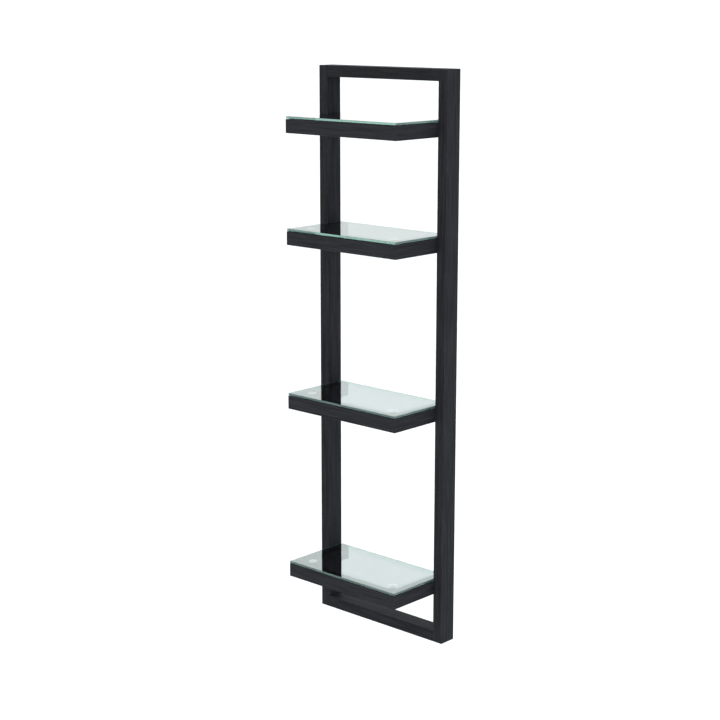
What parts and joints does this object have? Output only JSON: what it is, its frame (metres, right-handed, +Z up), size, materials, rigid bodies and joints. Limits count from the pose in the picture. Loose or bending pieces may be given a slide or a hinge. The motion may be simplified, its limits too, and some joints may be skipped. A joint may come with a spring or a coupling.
{
  "type": "wall display shelf unit",
  "caption": "Tall wall-hung display unit: a narrow black wooden frame carries forward-standing trays, each topped by a loose glass plate.",
  "frame": {"origin": "middle of the bottom rail's back face, on the wall plane", "axes": "+Z up, +Y back into the wall, +X to the right seen from the front"},
  "size_m": [0.44, 0.206, 1.5],
  "materials": {
    "black_wood": "black stained open-grain wood under satin lacquer",
    "glass": "clear float glass with polished edges and a green cast",
    "clear_soft": "clear soft silicone",
    "zinc_steel": "bright zinc-plated steel",
    "black_steel": "black-oxide steel",
    "brass": "turned brass",
    "beech": "plain beech dowel"
  },
  "bodies": {
    "unit": {"left_upright": "black_wood", "right_upright": "black_wood", "top_rail": "black_wood", "bottom_rail": "black_wood", "frame_dowels": "beech", "left_inserts": "brass", "right_inserts": "brass", "hanger_plates": "zinc_steel", "hanger_screws": "zinc_steel", "tray_front_1": "black_wood", "tray_front_2": "black_wood", "tray_front_3": "black_wood", "tray_front_4": "black_wood", "tray_left_arm_1": "black_wood", "tray_left_arm_2": "black_wood", "tray_left_arm_3": "black_wood", "tray_left_arm_4": "black_wood", "tray_right_arm_1": "black_wood", "tray_right_arm_2": "black_wood", "tray_right_arm_3": "black_wood", "tray_right_arm_4": "black_wood", "corner_blocks_1": "black_wood", "corner_blocks_2": "black_wood", "corner_blocks_3": "black_wood", "corner_blocks_4": "black_wood", "mitre_dowels_1": "beech", "mitre_dowels_2": "beech", "mitre_dowels_3": "beech", "mitre_dowels_4": "beech", "tray_bolts_1": "black_steel", "tray_bolts_2": "black_steel", "tray_bolts_3": "black_steel", "tray_bolts_4": "black_steel", "front_pads_1": "clear_soft", "front_pads_2": "clear_soft", "front_pads_3": "clear_soft", "front_pads_4": "clear_soft", "rear_buttons_1": "clear_soft", "rear_buttons_2": "clear_soft", "rear_buttons_3": "clear_soft", "rear_buttons_4": "clear_soft"},
    "glass_plate_1": {"glass_1": "glass"},
    "glass_plate_2": {"glass_2": "glass"},
    "glass_plate_3": {"glass_3": "glass"},
    "glass_plate_4": {"glass_4": "glass"}
  },
  "joints": [
    {"name": "glass_lift_1", "type": "slide", "parent": "unit", "child": "glass_plate_1", "axis": [0, 0, 1], "range_m": [0, 0.0925]},
    {"name": "glass_lift_2", "type": "slide", "parent": "unit", "child": "glass_plate_2", "axis": [0, 0, 1], "range_m": [0, 0.2445]},
    {"name": "glass_lift_3", "type": "slide", "parent": "unit", "child": "glass_plate_3", "axis": [0, 0, 1], "range_m": [0, 0.3945]},
    {"name": "glass_lift_4", "type": "slide", "parent": "unit", "child": "glass_plate_4", "axis": [0, 0, 1], "range_m": [0, 0.4245]}
  ]
}
